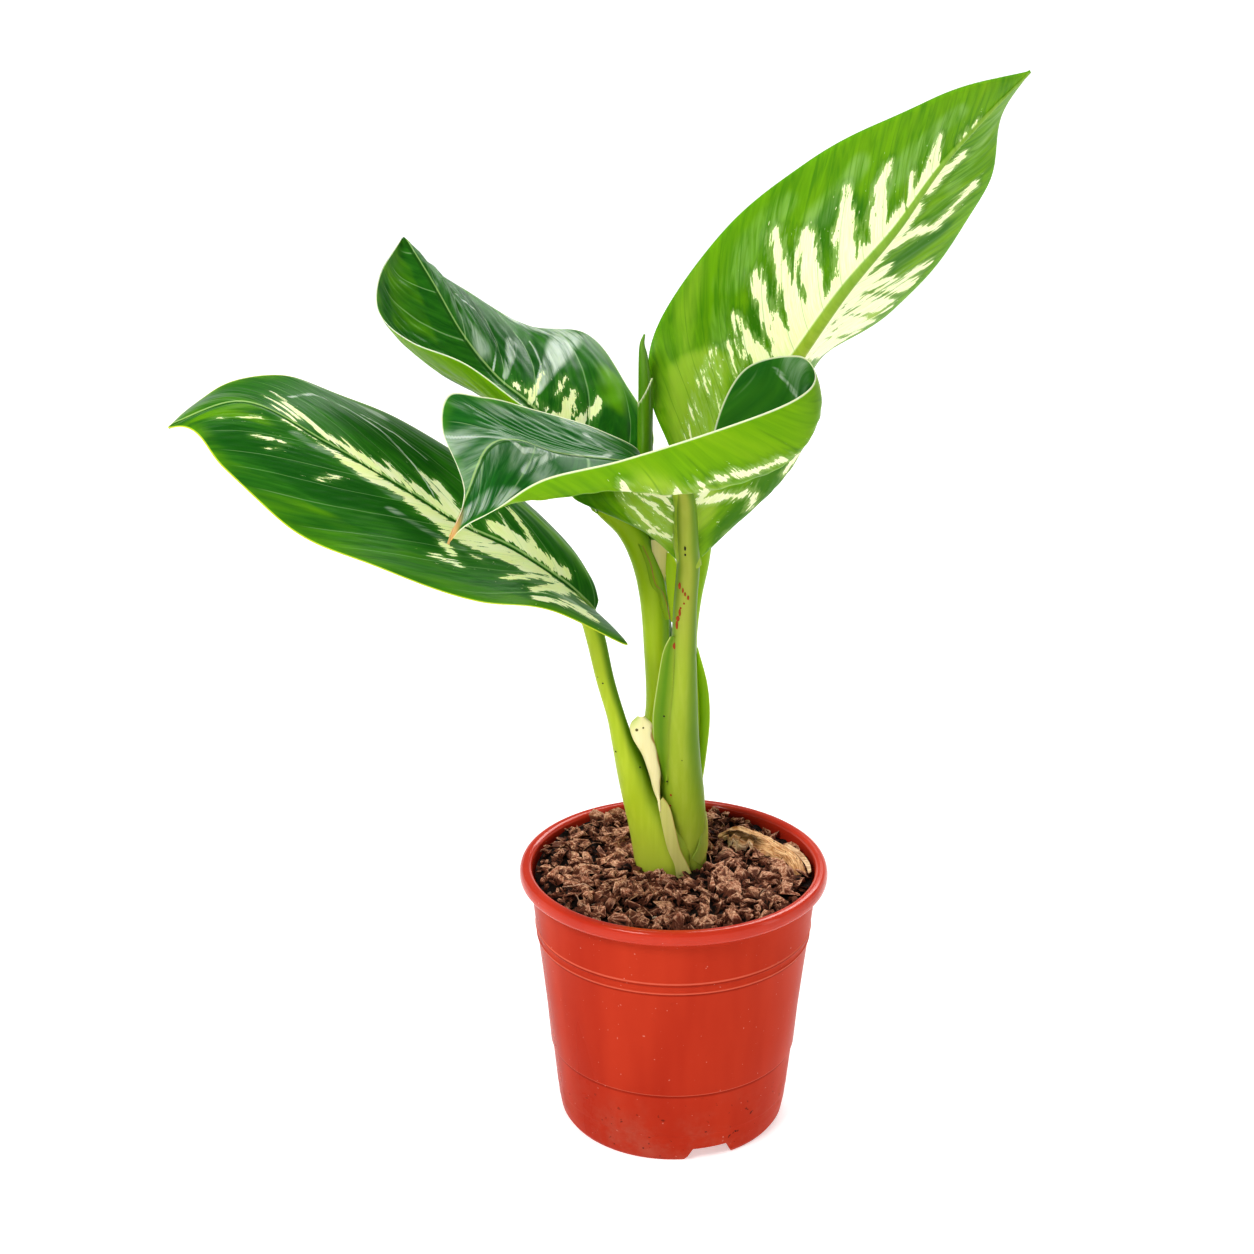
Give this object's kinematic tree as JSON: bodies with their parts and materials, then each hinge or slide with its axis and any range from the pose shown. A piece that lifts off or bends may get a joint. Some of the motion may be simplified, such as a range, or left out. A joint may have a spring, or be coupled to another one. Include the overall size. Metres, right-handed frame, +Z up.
{
  "type": "potted dieffenbachia",
  "caption": "Variegated dieffenbachia houseplant with broad green and cream leaves in a glossy red nursery pot.",
  "frame": {"origin": "on the standing surface, under the middle of the whole plant's bounding box", "axes": "+Z up, -Y towards the viewer in the picture, +X to the viewer's right, towards the tall leaf"},
  "size_m": [0.3186, 0.1666, 0.4409],
  "materials": {
    "red_plastic": "glossy red-orange moulded plastic",
    "soil": "dark moist bark and coir mix",
    "dry_sheath": "dry fibrous tan sheath",
    "stalk": "smooth waxy light green",
    "leaf": "glossy green with cream variegation",
    "new_leaf": "smooth light green"
  },
  "bodies": {
    "root": {"pot": "red_plastic", "soil": "soil", "dry_sheath_scrap": "dry_sheath", "leaf_1_petiole": "stalk", "leaf_2_petiole": "stalk", "leaf_3_petiole": "stalk", "leaf_4_petiole": "stalk", "new_leaf_spear": "new_leaf", "leaf_1_blade": "leaf", "leaf_2_blade": "leaf", "leaf_3_blade": "leaf", "leaf_4_blade": "leaf"}
  },
  "joints": []
}
